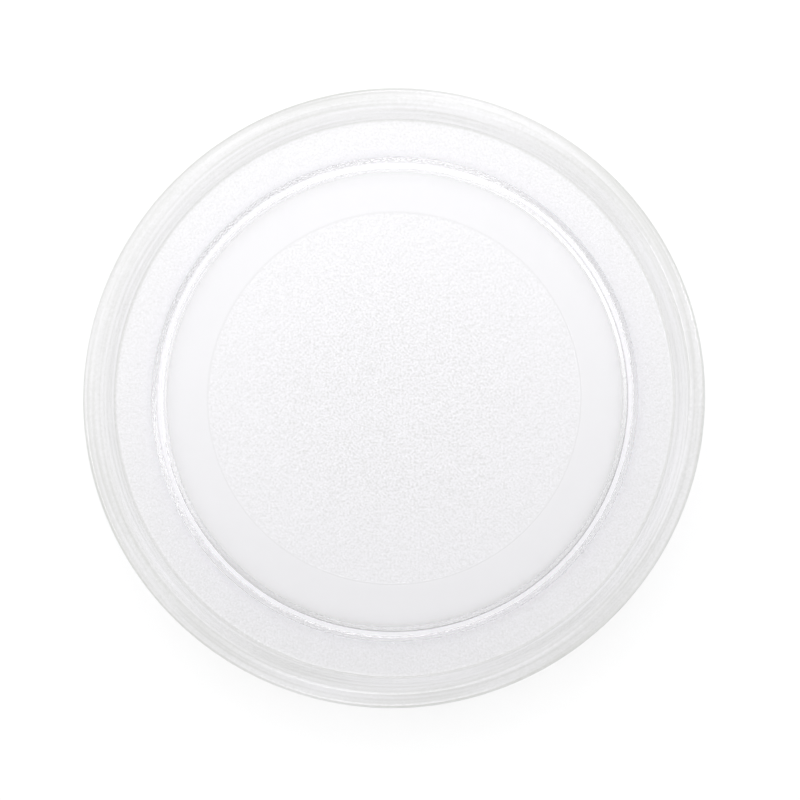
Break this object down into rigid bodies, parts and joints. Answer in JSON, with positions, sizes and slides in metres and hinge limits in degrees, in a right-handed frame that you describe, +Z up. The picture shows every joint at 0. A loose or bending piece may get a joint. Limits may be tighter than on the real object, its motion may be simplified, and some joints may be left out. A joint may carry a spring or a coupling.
{
  "type": "microwave turntable plate",
  "caption": "Shallow round dish of clear pressed glass with a raised lip, and a foot rib and smooth roller track under its floor; it turns food on a microwave oven's roller ring.",
  "frame": {"origin": "on the axis the plate turns on, in the plane that the foot rib stands on", "axes": "+Z up along the axis the plate turns on; the plate is round, so X and Y are free"},
  "size_m": [0.245, 0.245, 0.014],
  "materials": {
    "clear_glass": "clear pressed glass, fire-polished on top, stippled underneath beside the smooth roller track"
  },
  "bodies": {
    "root": {"turntable_plate": "clear_glass"}
  },
  "joints": []
}
